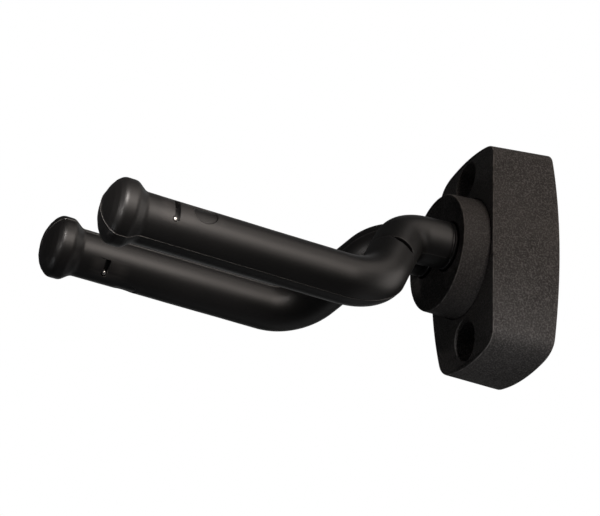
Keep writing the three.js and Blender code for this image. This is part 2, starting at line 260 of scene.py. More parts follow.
def ramp(nt, src, stops):
    n = nt.nodes.new("ShaderNodeValToRGB")
    cr = n.color_ramp
    while len(cr.elements) < len(stops):
        cr.elements.new(0.5)
    for e, (p, c) in zip(cr.elements, stops):
        e.position = p
        e.color = (c, c, c, 1) if not isinstance(c, (tuple, list)) else (*c, 1)
    nt.links.new(src, n.inputs[0])
    return n.outputs[0]


def mix(nt, fac, a, b, blend="MIX"):
    n = nt.nodes.new("ShaderNodeMix")
    n.data_type = "RGBA"
    n.blend_type = blend
    for i, v in ((0, fac), (6, a), (7, b)):
        if isinstance(v, bpy.types.NodeSocket):
            nt.links.new(v, n.inputs[i])
        elif i == 0:
            n.inputs[i].default_value = v
        else:
            n.inputs[i].default_value = (*v, 1) if len(v) == 3 else v
    return n.outputs[2]


def maths(nt, op, a, b=0.0, clamp=False):
    n = nt.nodes.new("ShaderNodeMath")
    n.operation = op
    n.use_clamp = clamp
    for i, v in ((0, a), (1, b)):
        if isinstance(v, bpy.types.NodeSocket):
            nt.links.new(v, n.inputs[i])
        else:
            n.inputs[i].default_value = v
    return n.outputs[0]


def grained_plastic(name, dark, light, rough, bump, wear_and_highlight_weight):
    """Moulded plastic with a spark-eroded grain: pits and peaks a third of a millimetre across."""
    m, nt, bsdf = new_mat(name)
    co = node(nt, "ShaderNodeTexCoord").outputs["Object"]
    fine = node(nt, "ShaderNodeTexNoise", Scale=1900.0, Detail=1.0, Roughness=0.5)
    cell = node(nt, "ShaderNodeTexVoronoi", Scale=1500.0)
    broad = node(nt, "ShaderNodeTexNoise", Scale=70.0, Detail=4.0, Roughness=0.6)
    for t in (fine, cell, broad):
        nt.links.new(co, t.inputs["Vector"])
    # the grain's peaks are made lighter: partly the grain's own tone, partly painted glints on the peaks
    peaks = ramp(nt, fine.outputs["Fac"], [(0.40, 0.0), (0.53, 0.35), (0.68, 1.0)])
    base = mix(nt, peaks, dark, light)
    base = mix(nt, ramp(nt, broad.outputs["Fac"], [(0.3, 0.0), (0.75, 1.0)]), base, mix(nt, 0.35, base, light))
    geo = node(nt, "ShaderNodeNewGeometry")
    # convex edges, found by pointiness, are made lighter: partly wear, partly a painted highlight along the edges
    wear_and_edge_highlight = ramp(nt, geo.outputs["Pointiness"], [(0.506, 0.0), (0.545, 1.0)])
    wear_and_edge_highlight = maths(nt, "MULTIPLY", wear_and_edge_highlight, wear_and_highlight_weight)
    base = mix(nt, wear_and_edge_highlight, base, tuple(min(1, 2.0 * c) for c in light))
    # a dashed lighter band along the marked edge: partly scuffing, partly a painted highlight on the edge
    scuff_dash_noise = node(nt, "ShaderNodeTexNoise", Scale=420.0, Detail=3.0, Roughness=0.6)
    nt.links.new(co, scuff_dash_noise.inputs["Vector"])
    edge = node(nt, "ShaderNodeAttribute", attribute_name="edge")
    scuff_and_edge_highlight = maths(nt, "MULTIPLY", ramp(nt, edge.outputs["Fac"], [(0.25, 0.0), (0.7, 1.0)]), ramp(nt, scuff_dash_noise.outputs["Fac"], [(0.38, 0.12), (0.56, 0.8)]))
    base = mix(nt, scuff_and_edge_highlight, base, tuple(min(1, 2.6 * c) for c in light))
    nt.links.new(base, bsdf.inputs["Base Color"])
    rr = ramp(nt, fine.outputs["Fac"], [(0.3, rough + 0.1), (0.7, rough - 0.08)])
    nt.links.new(rr, bsdf.inputs["Roughness"])
    h = maths(nt, "ADD", fine.outputs["Fac"], maths(nt, "MULTIPLY", cell.outputs["Distance"], 0.6))
    b = node(nt, "ShaderNodeBump", Strength=bump, Distance=0.00012)
    nt.links.new(h, b.inputs["Height"])
    nt.links.new(b.outputs["Normal"], bsdf.inputs["Normal"])
    bsdf.inputs["Specular IOR Level"].default_value = 0.15
    return m


def soft_rubber(name):
    """Smooth moulded rubber: a faint bloom, fine flow marks and a satin sheen."""
    m, nt, bsdf = new_mat(name)
    co = node(nt, "ShaderNodeTexCoord").outputs["Object"]
    bloom = node(nt, "ShaderNodeTexNoise", Scale=55.0, Detail=5.0, Roughness=0.65)
    fine = node(nt, "ShaderNodeTexNoise", Scale=1500.0, Detail=2.0, Roughness=0.5)
    flow = node(nt, "ShaderNodeTexNoise", Scale=18.0, Detail=3.0, Roughness=0.5, Distortion=0.6)
    for t in (bloom, fine, flow):
        nt.links.new(co, t.inputs["Vector"])
    base = mix(nt, ramp(nt, bloom.outputs["Fac"], [(0.35, 0.0), (0.7, 1.0)]), (0.0030, 0.0027, 0.0026), (0.0050, 0.0045, 0.0044))
    base = mix(nt, maths(nt, "MULTIPLY", ramp(nt, fine.outputs["Fac"], [(0.55, 0.0), (0.8, 1.0)]), 0.25), base, (0.012, 0.011, 0.0105))
    geo = node(nt, "ShaderNodeNewGeometry")
    # convex ridges, found by pointiness, are made lighter: partly wear, partly a painted highlight
    wear_and_edge_highlight = maths(nt, "MULTIPLY", ramp(nt, geo.outputs["Pointiness"], [(0.52, 0.0), (0.62, 1.0)]), 0.5)
    base = mix(nt, wear_and_edge_highlight, base, (0.06, 0.055, 0.052))
    # the mould line is made lighter: partly scuffed flash, partly a painted highlight along its ridge
    flash_at = node(nt, "ShaderNodeAttribute", attribute_name="flash")
    line = maths(nt, "MULTIPLY", ramp(nt, flash_at.outputs["Fac"], [(0.3, 0.0), (0.8, 1.0)]), ramp(nt, fine.outputs["Fac"], [(0.35, 0.45), (0.6, 1.0)]))
    base = mix(nt, line, base, (0.125, 0.118, 0.112))
    nt.links.new(base, bsdf.inputs["Base Color"])
    nt.links.new(ramp(nt, flow.outputs["Fac"], [(0.3, 0.41), (0.7, 0.47)]), bsdf.inputs["Roughness"])
    bsdf.inputs["Specular IOR Level"].default_value = 0.66
    bsdf.inputs["Sheen Weight"].default_value = 0.01
    bsdf.inputs["Sheen Roughness"].default_value = 0.45
    h = maths(nt, "ADD", maths(nt, "MULTIPLY", fine.outputs["Fac"], 0.25), maths(nt, "MULTIPLY", bloom.outputs["Fac"], 1.0))
    b = node(nt, "ShaderNodeBump", Strength=0.06, Distance=0.00010)
    nt.links.new(h, b.inputs["Height"])
    nt.links.new(b.outputs["Normal"], bsdf.inputs["Normal"])
    return m


def plated(name, tint, rough, scratch=0.25):
    """Plated or bare steel with fine turning marks and slight tarnish."""
    m, nt, bsdf = new_mat(name)
    co = node(nt, "ShaderNodeTexCoord").outputs["Object"]
    mp = node(nt, "ShaderNodeMapping")
    mp.inputs["Scale"].default_value = (400, 6000, 400)
    nt.links.new(co, mp.inputs["Vector"])
    lines = node(nt, "ShaderNodeTexNoise", Scale=1.0, Detail=2.0)
    nt.links.new(mp.outputs["Vector"], lines.inputs["Vector"])
    blot = node(nt, "ShaderNodeTexNoise", Scale=220.0, Detail=4.0, Roughness=0.6)
    nt.links.new(co, blot.inputs["Vector"])
    base = mix(nt, ramp(nt, blot.outputs["Fac"], [(0.35, 0.0), (0.7, 1.0)]), tuple(0.72 * c for c in tint), tint)
    nt.links.new(base, bsdf.inputs["Base Color"])
    bsdf.inputs["Metallic"].default_value = 1.0
    nt.links.new(ramp(nt, blot.outputs["Fac"], [(0.3, rough - 0.06), (0.75, rough + 0.12)]), bsdf.inputs["Roughness"])
    b = node(nt, "ShaderNodeBump", Strength=scratch, Distance=0.00003)
    nt.links.new(lines.outputs["Fac"], b.inputs["Height"])
    nt.links.new(b.outputs["Normal"], bsdf.inputs["Normal"])
    return m


def plain_plastic(name, a, b_, rough):
    m, nt, bsdf = new_mat(name)
    co = node(nt, "ShaderNodeTexCoord").outputs["Object"]
    n1 = node(nt, "ShaderNodeTexNoise", Scale=350.0, Detail=4.0, Roughness=0.6)
    nt.links.new(co, n1.inputs["Vector"])
    nt.links.new(mix(nt, ramp(nt, n1.outputs["Fac"], [(0.3, 0.0), (0.75, 1.0)]), a, b_), bsdf.inputs["Base Color"])
    nt.links.new(ramp(nt, n1.outputs["Fac"], [(0.3, rough - 0.05), (0.75, rough + 0.1)]), bsdf.inputs["Roughness"])
    b = node(nt, "ShaderNodeBump", Strength=0.2, Distance=0.00004)
    nt.links.new(n1.outputs["Fac"], b.inputs["Height"])
    nt.links.new(b.outputs["Normal"], bsdf.inputs["Normal"])
    return m


SHELL = grained_plastic("shell_plastic", (0.036, 0.0330, 0.0315), (0.116, 0.1066, 0.1018), 0.58, 0.60, 0.30)
TURRET = grained_plastic("turret_plastic", (0.028, 0.0256, 0.0246), (0.078, 0.0715, 0.0684), 0.56, 0.55, 0.40)
RUBBER = soft_rubber("sleeve_rubber")
ZINC = plated("zinc_steel", (0.62, 0.63, 0.62), 0.30)
# near-black steel: partly a dark finish and, on the arm rods, partly painted shade inside the sleeve seam gaps
DARK_STEEL = plated("raw_steel", (0.10, 0.10, 0.10), 0.50)
BRIGHT = plated("bright_steel", (0.95, 0.93, 0.89), 0.30, 0.08)
ACETAL = plain_plastic("acetal", (0.70, 0.68, 0.62), (0.80, 0.78, 0.72), 0.42)
NYLON = plain_plastic("nylon", (0.04, 0.11, 0.32), (0.06, 0.15, 0.40), 0.40)

# ------------------------------------------------------------------ wall plate
DEPTH, BACK_W, BACK_H, FRONT_W, FRONT_H = 22.0, 23.58, 36.97, 20.98, 36.28
SIDE_B, END_B, SIDE_Z, END_X, CROWN = 0.0037, 0.0075, 30.4, 12.6, 0.00178
SCREW_Z = 28.2


def bez(a, b, c, n):
    return [tuple((1 - t) ** 2 * a[i] + 2 * (1 - t) * t * b[i] + t * t * c[i] for i in (0, 1)) for t in (k / n for k in range(n))]


def barrel(inset=0.0, ns=40, nc=12, ne=16):
    """The plate's outline at the wall, as (x, z) points, counter-clockwise."""
    w, h = BACK_W - inset, BACK_H - inset
    zs, xe = SIDE_Z - inset * 0.7, END_X - inset * 0.7
    xs, ze = w - SIDE_B * zs * zs, h - END_B * xe * xe
    sx, sz = -2 * SIDE_B * zs, -2 * END_B * xe
    zc = (ze + sz * (xs - sx * zs - xe)) / (1 - sz * sx)
    xc = xs + sx * (zc - zs)
    p = bez((xs, -zs), (w + SIDE_B * zs * zs, 0), (xs, zs), ns)
    p += bez((xs, zs), (xc, zc), (xe, ze), nc)
    p += bez((xe, ze), (0, h + END_B * xe * xe), (-xe, ze), ne)
    p += bez((-xe, ze), (-xc, zc), (-xs, zs), nc)
    p += bez((-xs, zs), (-w - SIDE_B * zs * zs, 0), (-xs, -zs), ns)
    p += bez((-xs, -zs), (-xc, -zc), (-xe, -ze), nc)
    p += bez((-xe, -ze), (0, -h - END_B * xe * xe), (xe, -ze), ne)
    p += bez((xe, -ze), (xc, -zc), (xs, -zs), nc)
    return p


def draft(p):
    f = -p.y / DEPTH
    return Vector((p.x * (1 - f * (1 - FRONT_W / BACK_W)), p.y, p.z * (1 - f * (1 - FRONT_H / BACK_H))))


def plate_body():
    """Outer skin: back edge, drafted side with a soft front edge, and the crowned front."""
    loop = barrel()
    n = len(loop)
    cx = [Vector(q) for q in loop]
    # inward normals of the outline
    nrm = []
    for i in range(n):
        t = (cx[(i + 1) % n] - cx[i - 1]).normalized()
        nrm.append(Vector((-t.y, t.x)))
    edge = 0.55
    levels = []  # (depth fraction rule, inset)
    s = Shape()

    def ring(depth_of, inset):
        ids = []
        for q, m in zip(cx, nrm):
            flat = Vector((q.x, 0, q.y))
            y = depth_of(q)
            d = draft(Vector((flat.x, y, flat.z)))
            s.v.append(Vector((d.x + m.x * inset, y, d.z + m.y * inset)))
            ids.append(len(s.v) - 1)
        return ids

    def front(q):
        z = q.y * FRONT_H / BACK_H
        return -DEPTH + CROWN * z * z

    rings = [ring(lambda q: 0.0, 0.1), ring(lambda q: -0.03, 0.03), ring(lambda q: -0.1, 0.0), ring(lambda q: -0.45, 0.0)]
    for k in (0.25, 0.5, 0.75):
        rings.append(ring(lambda q, k=k: (front(q) + edge) * k, 0.0))
    for k in range(7):
        a = k / 6 * math.pi / 2
        rings.append(ring(lambda q, a=a: front(q) + edge * (1 - math.sin(a)), edge * (1 - math.cos(a))))
    for a, b in zip(rings, rings[1:]):
        s.f += [(a[k], a[(k + 1) % n], b[(k + 1) % n], b[k]) for k in range(n)]
    s.f.append(tuple(reversed(rings[0])))
    # front face: strips straight across, following the crown
    top = rings[-1]
    right = [i for i in range(n)]
    start = n - 12 - 8  # middle of the lower end
    order = [top[(start + k) % n] for k in range(n)]
    i, j = 0, n - 1
    s.f.append((order[0], order[1], order[n - 1]))
    i, j = 1, n - 1
    while j - i > 2:
        s.f.append((order[i], order[i + 1], order[j - 1], order[j]))
        i += 1
        j -= 1
    if j - i == 2:
        s.f.append((order[i], order[i + 1], order[j]))
    return s, [s.v[i].copy() for i in rings[-4]]


def wall_plate():
    body, rim = plate_body()
    o = temp(body, "wall_plate_detail")
    # pockets behind
    pocket = temp(prism(barrel(3.0, 24, 8, 10), 1.5, -16.5, draft))
    for z in (-SCREW_Z, SCREW_Z):
        boolean(pocket, temp(turned(fillet([(0, 3), (9.2, 3), (9.2, -20), (0, -20)]), 64, 0, z)))
    boolean(pocket, temp(turned([(0, 3), (14.4, 3), (14.4, -20), (0, -20)], 72)))
    for s in (1, -1):
        for z in (15.2, SCREW_Z):
            boolean(pocket, temp(block(-30, 30, -25, 3, s * z - 1.1, s * z + 1.1)))
    for x in (-11.4, 0, 11.4):
        boolean(pocket, temp(block(x - 1.1, x + 1.1, -25, 3, -45, 45)))
    boolean(pocket, temp(block(-30, 30, -25, 3, -1.1, 1.1)))
    boolean(o, pocket)
    # round recess that the turret turns in, with a soft lip
    boolean(o, temp(turned(fillet([(0, -20.3), (19.7, -20.3, 0.3), (19.7, -21.75, 0.35), (21.2, -23.0), (21.2, -30), (0, -30)]), 160)))
    boolean(o, temp(turned([(0, 3), (6.3, 3), (6.3, -30), (0, -30)], 72)))
    boolean(o, temp(turned(fillet([(0, 3), (11.6, 3), (11.0, -0.4), (11.0, -14.0, 0.5), (0, -14.0)]), 96)))
    for z in (-SCREW_Z, SCREW_Z):
        lip = -DEPTH + CROWN * z * z
        boolean(o, temp(turned(fillet([(0, -8.0), (6.23, -8.0, 0.4), (6.23, lip + 0.45, 0.4), (7.4, lip - 0.8), (7.4, -30), (0, -30)]), 96, 0, z)))
        boolean(o, temp(turned([(0, 3), (3.5, 3), (3.1, -0.4), (3.1, -30), (0, -30)], 64, 0, z)))
    # marks the plate's front edge for a lighter band: scuffing and a painted edge highlight
    near_line(o, "edge", [rim + rim[:1]], 0.34)
    return finish_piece(o, "wall_plate_detail", "base", SHELL, ["wall_plate"], sharp=33)


wall_plate()

# ------------------------------------------------------------------ turret cover
STUB_X, STUB_Z = 7.75, 0.8


def turret_cover():
    prof = fillet([(0, -30.88), (18.93, -30.88, 0.55), (19.38, -20.62, 0.2), (17.0, -20.62, 0.2), (16.55, -27.7, 0.8), (0, -27.7)], seg=6)
    prof = prof[:1] + [(9.0, -30.88), (14.0, -30.88), (17.5, -30.88)] + prof[1:]
    o = temp(turned(prof, 160), "turret")
    hole = turned(fillet([(0, -25), (7.95, -25), (7.95, -30.62, 0.2), (8.3, -31.3), (8.3, -36), (0, -36)]), 96, STUB_X, STUB_Z)
    boolean(o, temp(hole))
    hole = turned(fillet([(0, -25), (7.95, -25), (7.95, -30.62, 0.2), (8.3, -31.3), (8.3, -36), (0, -36)]), 96, -STUB_X, STUB_Z)
    boolean(o, temp(hole))
    for z in (-12.6, 12.6):
        boolean(o, temp(turned([(0, -25), (1.8, -25), (1.8, -30.1), (0, -30.1)], 32, 0, z)))
    circle = [Vector((18.78 * math.cos(TAU * k / 160), -30.72, 18.78 * math.sin(TAU * k / 160))) for k in range(161)]
    # marks the turret's rim for a lighter band: scuffing and a painted edge highlight
    near_line(o, "edge", [circle], 0.34)
    return finish_piece(o, "turret_cover_detail", "yoke", TURRET, ["turret_cover"], yoke=True, sharp=33)


turret_cover()

# ------------------------------------------------------------------ arms
ARM_X, BEND1_Y, BEND2_Y, BEND1_R, BEND2_R = 32.0, -46.6, -63.7, 11.0, 17.0
TIP_Y, TIP_Z, RISE = -144.35, -17.1, 0.069
SLEEVE_R = 7.54
SEAM_PAST = 10.3                     # joint between the two sleeves, past the end of the first bend


def arm_path(side, n1=26, n2=30):
    """Stations (point, tangent, tag) of one arm's centreline, from the disc to the tip."""
    z2 = TIP_Z - (BEND2_Y - TIP_Y) * math.tan(RISE)
    c = [Vector((side * x, y, z)) for x, y, z in ((STUB_X, -27.7, STUB_Z), (STUB_X, BEND1_Y, STUB_Z), (ARM_X, BEND2_Y, z2), (ARM_X, TIP_Y, TIP_Z))]
    out = [[c[0], (c[1] - c[0]).normalized(), "start"]]
    for k, r, n in ((1, BEND1_R, n1), (2, BEND2_R, n2)):
        a, b = (c[k] - c[k - 1]).normalized(), (c[k + 1] - c[k]).normalized()
        turn = a.angle(b)
        start = c[k] - a * (r * math.tan(turn / 2))
        inward = (b - a * a.dot(b)).normalized()
        centre = start + inward * r
        for i in range(n + 1):
            f = turn * i / n
            out.append([centre - inward * (r * math.cos(f)) + a * (r * math.sin(f)), a * math.cos(f) + inward * math.sin(f), "bend%d_end" % k if i == n else ("bend%d_start" % k if i == 0 else "")])
    out.append([c[3], (c[3] - c[2]).normalized(), "tip"])
    return out


def with_frames(st):
    """Adds (out, up) axes that don't twist, fixed at the tip: out is +X, up is as near +Z as it can be."""
    t = st[-1][1]
    out = Vector((1, 0, 0))
    out = (out - t * out.dot(t)).normalized()
    res = [None] * len(st)
    res[-1] = (st[-1][0], t, out, t.cross(out).normalized())
    for i in range(len(st) - 2, -1, -1):
        p, t0 = st[i][0], st[i][1]
        q = res[i + 1][1].rotation_difference(t0)
        out = q @ res[i + 1][2]
        out = (out - t0 * out.dot(t0)).normalized()
        res[i] = (p, t0, out, t0.cross(out).normalized())
    return res


def densify(st, step=5.0):
    """Splits the straight stretches into shorter ones."""
    out = [st[0]]
    for a, b in zip(st, st[1:]):
        d = (b[0] - a[0]).length
        k = max(1, int(d / step))
        for i in range(1, k + 1):
            t = i / k
            out.append([a[0].lerp(b[0], t), a[1].lerp(b[1], t).normalized(), b[2] if i == k else ""])
    return out


PART = {1: -54.0, -1: 54.0}          # turn of each sleeve's mould line, in degrees
SLOT = {1: (1, 62, 6, 0.3), -1: (-54, -9, -48, 0.0)}   # from, to, pin angle, pin shift
SLOT_BACK, SLOT_W = 15.8, 1.7
DISC_MARK = {1: (24.3, 43.5), -1: (24.5, -86.0)}


def angles_for(side, n=88):
    """Angles round a sleeve, closer together at its two mould lines."""
    p = math.radians(PART[side])
    lines = [p % TAU, (p + math.pi) % TAU]
    near = [0.0, 0.006, 0.013, 0.021, 0.032, 0.055]
    a = [k * TAU / n for k in range(n)]
    a = [x for x in a if all(abs((x - c + math.pi) % TAU - math.pi) > 0.07 for c in lines)]
    for c in lines:
        for d in near:
            a += [(c + d) % TAU] + ([(c - d) % TAU] if d else [])
    return sorted(a), lines


def flash(x, lines):
    """How far the mould line stands up at angle x, in millimetres."""
    d = min(abs((x - c + math.pi) % TAU - math.pi) for c in lines)
    return 0.13 * math.exp(-((d / 0.0115) ** 2)) - 0.02 * math.exp(-(((d - 0.034) / 0.012) ** 2))


CAP = fillet([(7.54, -9.5), (7.54, -6.75, 3.0), (9.80, -3.75, 2.6), (9.80, 0.0, 2.6), (8.55, 1.50, 2.6), (6.8, 2.70, 3.0), (4.5, 3.72, 4.0), (2.1, 4.28, 3.0), (0.0, 4.42)], seg=8)


def tube_skin(rings, angles, lines, closed_tip):
    """Joins rings; each ring is (point, tangent, out, up, radius, normal_r, normal_t, flash_scale, shift_fn)."""
    s = Shape()
    ids = []
    for p, t, out, up, r, nr, nt, fs, shift in rings:
        if r < 1e-6:
            s.v.append(p.copy())
            ids.append([len(s.v) - 1])
            continue
        row = []
        for a in angles:
            d = out * math.cos(a) + up * math.sin(a)
            h = flash(a, lines) * fs if lines else 0.0
            q = p + d * (r + h * nr) + t * (h * nt + (shift(a, d) if shift else 0.0))
            s.v.append(q)
            row.append(len(s.v) - 1)
        ids.append(row)
    n = len(angles)
    for a, b in zip(ids, ids[1:]):
        for k in range(n):
            j = (k + 1) % n
            if len(a) == 1:
                s.f.append((a[0], b[j], b[k]))
            elif len(b) == 1:
                s.f.append((a[k], a[j], b[0]))
            else:
                s.f.append((a[k], a[j], b[j], b[k]))
    return s, ids


# the butt joint between a stub sleeve and an arm sleeve gapes on its upper outer side
def seam_open(side):
    def step(x, a, b):
        t = max(0.0, min(1.0, (x - a) / (b - a)))
        return t * t * (3 - 2 * t)

    def opening(a, d):
        w = math.degrees(a if side == 1 else math.pi - a)
        w = (w + 180) % 360 - 180
        return 1.3 * step(w, -1, 11) * (1 - step(w, 44, 72))

    return opening


def arm_sleeve(side, name):
    angles, lines = angles_for(side)
    full = with_frames(arm_path(side))
    tags = [s[2] for s in arm_path(side)]
    k0 = tags.index("bend1_end")
    j = full[k0]
    st = [(j[0] + j[1] * SEAM_PAST, *j[1:])] + full[k0 + 1:]
    # straight stretches split so that the surface can wander a little
    pts = []
    for a, b in zip(st, st[1:]):
        d = (b[0] - a[0]).length
        k = max(1, int(d / 4.0))
        for i in range(k):
            f = i / k
            pts.append((a[0].lerp(b[0], f), a[1].lerp(b[1], f).normalized(), a[2].lerp(b[2], f).normalized(), a[3].lerp(b[3], f).normalized()))
    tip = st[-1]
    opening = seam_open(side)
    rings = []
    p, t, out, up = pts[0]
    gap = 0.05
    # inner edge and rounded outer edge of the open end
    for r, a in ((4.35, 40.0),):
        pass
    lip = 0.16
    inner = []
    for q in pts[1:]:
        if (tip[0] - q[0]).length > 6:
            inner.append(q)
    # bore from its blind end back to the open end
    deep = (tip[0] - tip[1] * 2.0, *tip[1:])
    rings.append((deep[0], deep[1], deep[2], deep[3], 0.0, 1, 0, 0, None))
    rings.append((*deep, 4.35, 1, 0, 0, None))
    for q in reversed(inner):
        rings.append((*q, 4.35, 1, 0, 0, None))
    bore_rings = len(rings) + 3
    sh = lambda k: (lambda a, d: gap + k * opening(a, d))
    rings.append((p, t, out, up, 4.45, 1, 0, 0, sh(1.0)))
    rings.append((p, t, out, up, SLEEVE_R - lip, 1, 0, 0, sh(1.0)))
    for i in range(1, 6):
        f = i / 5 * math.pi / 2
        rr = SLEEVE_R - lip + lip * math.sin(f)
        aa = lip * (1 - math.cos(f))
        rings.append((p + t * aa, t, out, up, rr, math.sin(f), 0, f / 1.6, sh(1.0)))
    rings.append((p + t * 1.6, t, out, up, SLEEVE_R, 1, 0, 1, sh(0.3)))
    for q in pts[1:]:
        along = (tip[0] - q[0]).length
        if along < 10.0 and (q[0] - tip[0]).dot(tip[1]) > -9.5:
            continue
        if (q[0] - p).length < 2.2:
            continue
        wob = 0.025 * math.sin(along * 0.21 + side) + 0.015 * math.sin(along * 0.53)
        rings.append((*q, SLEEVE_R - 0.03 + wob * 0.6, 1, 0, 1, None))
    for i, (r, a) in enumerate(CAP):
        b = CAP[min(i + 1, len(CAP) - 1)]
        c = CAP[max(i - 1, 0)]
        dr, da = b[0] - c[0], b[1] - c[1]
        L = math.hypot(dr, da) or 1
        nr, nt = da / L, -dr / L
        fs = min(1.25, r / 2.0)
        rings.append((tip[0] + tip[1] * a, tip[1], tip[2], tip[3], r, nr, nt, fs, None))
    skin, _ = tube_skin(rings, angles, lines, True)
    o = temp(skin, name)
    boolean(o, temp(on_sleeve_cutter(side, slot_loop(side), 5.6, 9.3)))
    pin_hole = pin_shape(side, 1.0, 4.2, 9.5, False)
    boolean(o, temp(pin_hole))
    boolean(o, temp(on_sleeve_cutter(side, mark_loop(side, 3.45), 7.12, 9.3, 0.5)))
    chains = []
    cap_rings = len(CAP) - 1
    for c in lines:
        chain = []
        for q, t, out, up, r, nr, nt, fs, shift in rings[bore_rings:]:
            d = out * math.cos(c) + up * math.sin(c)
            chain.append(q + d * (r + 0.13 * fs * nr) + t * (0.13 * fs * nt + (shift(c, d) if shift else 0.0)))
        chains.append(chain)
    # the lightened mould line, partly a painted highlight, is wider on the near arm's cap than on the far one
    near_line(o, "flash", [c[-cap_rings:] for c in chains], 0.24 if side == 1 else 0.10)
    near_line(o, "flash", chains, 0.11)
    return finish_piece(o, name, "yoke", RUBBER, [name.replace("_detail", "")], yoke=True, sharp=34)


def tip_frame(side):
    return with_frames(arm_path(side))[-1]


def slot_loop(side):
    """Rounded slot outline as (distance back from the rim, degrees)."""
    a0, a1 = SLOT[side][:2]
    half = SLOT_W / 2
    R = 7.54
    arc = math.radians(a1 - a0) * R
    pts = fillet([(-half, 0, 0.45), (half, 0, 0.45), (half, arc, 0.45), (-half, arc, 0.45)], closed=True, seg=4)
    # more points along the long sides
    out = []
    for i, q in enumerate(pts):
        w = pts[(i + 1) % len(pts)]
        k = max(1, int(math.hypot(w[0] - q[0], w[1] - q[1]) / 0.6))
        out += [(q[0] + (w[0] - q[0]) * f / k, q[1] + (w[1] - q[1]) * f / k) for f in range(k)]
    return [(SLOT_BACK + x, a0 + math.degrees(y / R)) for x, y in out]


def mark_loop(side, r):
    back, ang = DISC_MARK[side]
    return [(back + r * math.cos(TAU * k / 64), ang + math.degrees(r * math.sin(TAU * k / 64) / 7.54)) for k in range(64)]


def on_sleeve_cutter(side, loop, r0, r1, taper=0.0):
    """A plug standing on the sleeve's surface: the loop, from radius r0 out to r1, with a curved floor."""
    p, t, out, up = tip_frame(side)
    cb = sum(q[0] for q in loop) / len(loop)
    ca = sum(q[1] for q in loop) / len(loop)

    def at(back, deg, r):
        a = math.radians(deg)
        return p - t * back + (out * math.cos(a) + up * math.sin(a)) * r

    s = Shape()
    n = len(loop)
    fr = (0.0, 0.25, 0.5, 0.75, 1.0)

    def sheet(r, grow):
        rows = []
        for f in fr:
            if f == 0:
                s.v.append(at(cb, ca, r))
                rows.append([len(s.v) - 1])
                continue
            row = []
            for b, d in loop:
                k = f * (1 + grow)
                s.v.append(at(cb + (b - cb) * k, ca + (d - ca) * k, r))
                row.append(len(s.v) - 1)
            rows.append(row)
        return rows

    lo, hi = sheet(r0, 0.0), sheet(r1, taper)
    for rows, flip in ((lo, False), (hi, True)):
        for a, b in zip(rows, rows[1:]):
            for k in range(n):
                j = (k + 1) % n
                f = (a[0], b[k], b[j]) if len(a) == 1 else (a[k], b[k], b[j], a[j])
                s.f.append(tuple(reversed(f)) if flip else f)
    a, b = lo[-1], hi[-1]
    s.f += [(a[k], b[k], b[(k + 1) % n], a[(k + 1) % n]) for k in range(n)]
    return s


def pin_shape(side, r, r0, r1, dome, n=32):
    p, t, out, up = tip_frame(side)
    _, _, ang, shift = SLOT[side]
    base = p - t * (SLOT_BACK - shift)
    d = (out * math.cos(math.radians(ang)) + up * math.sin(math.radians(ang))).normalized()
    prof = fillet([(0, r0), (r, r0), (r, r1 - 0.45, 0.2), (0.72 * r, r1 - 0.12, 0.3), (0, r1)], seg=5) if dome else [(0, r0), (r, r0), (r, r1), (0, r1)]
    s = turned(prof, n)
    q = Vector((0, 1, 0)).rotation_difference(d)
    return Shape([base + (q @ v) for v in s.v], s.f)


